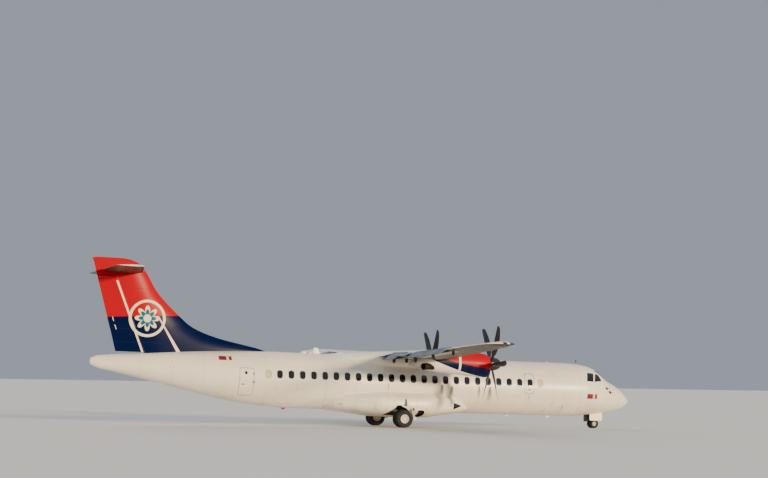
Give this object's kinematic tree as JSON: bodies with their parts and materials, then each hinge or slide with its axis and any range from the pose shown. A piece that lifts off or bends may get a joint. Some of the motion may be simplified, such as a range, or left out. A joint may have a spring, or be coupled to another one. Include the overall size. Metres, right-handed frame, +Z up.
{
  "type": "turboprop airliner",
  "caption": "Turboprop airliner with a high wing and a T-tail, parked on its gear; propellers, wheels, steering, doors, flaps, ailerons, elevators and rudder move.",
  "frame": {"origin": "on the ground, at the middle of the aircraft's length, on its centreline", "axes": "+X towards the nose, +Y to port, +Z up"},
  "size_m": [27.1655, 27.05, 7.6589],
  "materials": {
    "white_paint": "gloss",
    "red_paint": "gloss",
    "navy_paint": "gloss",
    "metal": "satin",
    "dark_metal": "heat stained",
    "blade_black": "satin",
    "tyre": "matt",
    "glass": "clear, dark inside"
  },
  "bodies": {
    "airframe": {"radome": "white_paint", "fuselage_front": "white_paint", "fuselage_rear": "white_paint", "wing_centre": "white_paint", "wing_left": "white_paint", "wing_right": "white_paint", "wing_fairing": "white_paint", "fuselage_centre": "white_paint", "dorsal_fin": "navy_paint", "fin": "navy_paint", "tail_cone": "white_paint", "tailplane_left": "white_paint", "tailplane_right": "white_paint", "fin_cap": "red_paint", "nacelle_upper_left": "red_paint", "nacelle_upper_right": "red_paint", "nacelle_lower_left": "white_paint", "nacelle_lower_right": "white_paint", "exhaust_left": "dark_metal", "exhaust_right": "dark_metal", "engine_left": "dark_metal", "engine_right": "dark_metal", "gear_fairing": "white_paint", "main_gear_leg_left": "metal", "main_gear_leg_right": "metal", "nose_gear_leg": "metal", "nose_gear_door_left": "white_paint", "nose_gear_door_right": "white_paint", "windscreen_left": "glass", "windscreen_right": "glass", "side_window_left": "glass", "side_window_right": "glass", "cockpit_section": "white_paint"},
    "propeller_left": {"propeller_left": "blade_black", "spinner_left": "blade_black"},
    "propeller_right": {"propeller_right": "blade_black", "spinner_right": "blade_black"},
    "main_wheels_left": {"main_wheels_left": "white_paint", "main_tyre_inner_left": "tyre", "main_tyre_outer_left": "tyre"},
    "main_wheels_right": {"main_wheels_right": "white_paint", "main_tyre_inner_right": "tyre", "main_tyre_outer_right": "tyre"},
    "nose_gear_fork": {"nose_gear_fork": "metal"},
    "nose_wheels": {"nose_wheels": "white_paint", "nose_tyre_left": "tyre", "nose_tyre_right": "tyre"},
    "rudder": {"rudder": "navy_paint"},
    "cargo_door": {"cargo_door": "white_paint"},
    "passenger_door": {"passenger_door": "white_paint"},
    "service_door": {"service_door": "white_paint"},
    "elevator_left": {"elevator_left": "white_paint"},
    "elevator_right": {"elevator_right": "white_paint"},
    "aileron_left": {"aileron_left": "white_paint"},
    "aileron_right": {"aileron_right": "white_paint"},
    "flap_inner_left": {"flap_inner_left": "white_paint"},
    "flap_inner_right": {"flap_inner_right": "white_paint"},
    "flap_outer_left": {"flap_outer_left": "white_paint"},
    "flap_outer_right": {"flap_outer_right": "white_paint"}
  },
  "joints": [
    {"name": "propeller_left_spin", "type": "hinge", "parent": "airframe", "child": "propeller_left", "pos_m": [4.54916, 4.05, 3.04286], "axis": [0.9999, 0, -0.017], "continuous": true},
    {"name": "main_wheels_left_spin", "type": "hinge", "parent": "airframe", "child": "main_wheels_left", "pos_m": [0.91396, 2.05, 0.415], "axis": [0, 1, 0], "continuous": true},
    {"name": "propeller_right_spin", "type": "hinge", "parent": "airframe", "child": "propeller_right", "pos_m": [4.54916, -4.05, 3.04286], "axis": [0.9999, 0, -0.017], "continuous": true},
    {"name": "main_wheels_right_spin", "type": "hinge", "parent": "airframe", "child": "main_wheels_right", "pos_m": [0.91396, -2.05, 0.415], "axis": [0, 1, 0], "continuous": true},
    {"name": "nose_steering", "type": "hinge", "parent": "airframe", "child": "nose_gear_fork", "pos_m": [11.68024, 0, 0.222], "axis": [0.017, 0, 0.9999], "range_deg": [-60, 60]},
    {"name": "nose_wheels_spin", "type": "hinge", "parent": "nose_gear_fork", "child": "nose_wheels", "pos_m": [11.68024, 0, 0.222], "axis": [0, 1, 0], "continuous": true},
    {"name": "rudder_hinge", "type": "hinge", "parent": "airframe", "child": "rudder", "pos_m": [-11.1444, 0, 3.31968], "axis": [-0.3548, 0, 0.9349], "range_deg": [-27, 27]},
    {"name": "elevator_left_hinge", "type": "hinge", "parent": "airframe", "child": "elevator_left", "pos_m": [-12.48139, 0.3, 7.07295], "axis": [0.0652, -0.9979, -0.0011], "range_deg": [-23, 13]},
    {"name": "elevator_right_hinge", "type": "hinge", "parent": "airframe", "child": "elevator_right", "pos_m": [-12.48139, -0.3, 7.07295], "axis": [-0.0652, -0.9979, 0.0011], "range_deg": [-23, 13]},
    {"name": "aileron_left_hinge", "type": "hinge", "parent": "airframe", "child": "aileron_left", "pos_m": [0.69321, 9.47, 3.59225], "axis": [-0.0063, -0.999, -0.0434], "range_deg": [-14, 14]},
    {"name": "aileron_right_hinge", "type": "hinge", "parent": "airframe", "child": "aileron_right", "pos_m": [0.69321, -9.47, 3.59225], "axis": [0.0063, -0.999, 0.0434], "range_deg": [-14, 14]},
    {"name": "flap_inner_left_hinge", "type": "hinge", "parent": "airframe", "child": "flap_inner_left", "pos_m": [0.58012, 1.72, 3.06839], "axis": [0, -1, 0], "range_deg": [-14.9, 20]},
    {"name": "flap_inner_right_hinge", "type": "hinge", "parent": "airframe", "child": "flap_inner_right", "pos_m": [0.58012, -1.72, 3.06839], "axis": [0, -1, 0], "range_deg": [-14.9, 20]},
    {"name": "flap_outer_left_hinge", "type": "hinge", "parent": "airframe", "child": "flap_outer_left", "pos_m": [0.58141, 4.73, 3.07582], "axis": [-0.0099, -0.9983, -0.0571], "range_deg": [-14.9, 20]},
    {"name": "flap_outer_right_hinge", "type": "hinge", "parent": "airframe", "child": "flap_outer_right", "pos_m": [0.58141, -4.73, 3.07582], "axis": [0.0099, -0.9983, 0.0571], "range_deg": [-14.9, 20]},
    {"name": "cargo_door_hinge", "type": "hinge", "parent": "airframe", "child": "cargo_door", "pos_m": [9.54623, 1.18012, 2.68086], "axis": [0.9999, 0, -0.017], "range_deg": [0, 110]},
    {"name": "passenger_door_hinge", "type": "hinge", "parent": "airframe", "child": "passenger_door", "pos_m": [-6.59045, 0.99321, 1.39599], "axis": [-0.9999, 0, 0.017], "range_deg": [0, 135]},
    {"name": "service_door_hinge", "type": "hinge", "parent": "airframe", "child": "service_door", "pos_m": [-6.15953, -1.36518, 2.03475], "axis": [0.017, 0, 0.9999], "range_deg": [0, 100]}
  ],
  "couplings": [
    {"joint": "elevator_right_hinge", "follows": "elevator_left_hinge", "ratio": 1},
    {"joint": "aileron_right_hinge", "follows": "aileron_left_hinge", "ratio": -1},
    {"joint": "flap_inner_right_hinge", "follows": "flap_outer_left_hinge", "ratio": 1},
    {"joint": "flap_inner_left_hinge", "follows": "flap_outer_left_hinge", "ratio": 1},
    {"joint": "flap_outer_right_hinge", "follows": "flap_outer_left_hinge", "ratio": 1}
  ]
}
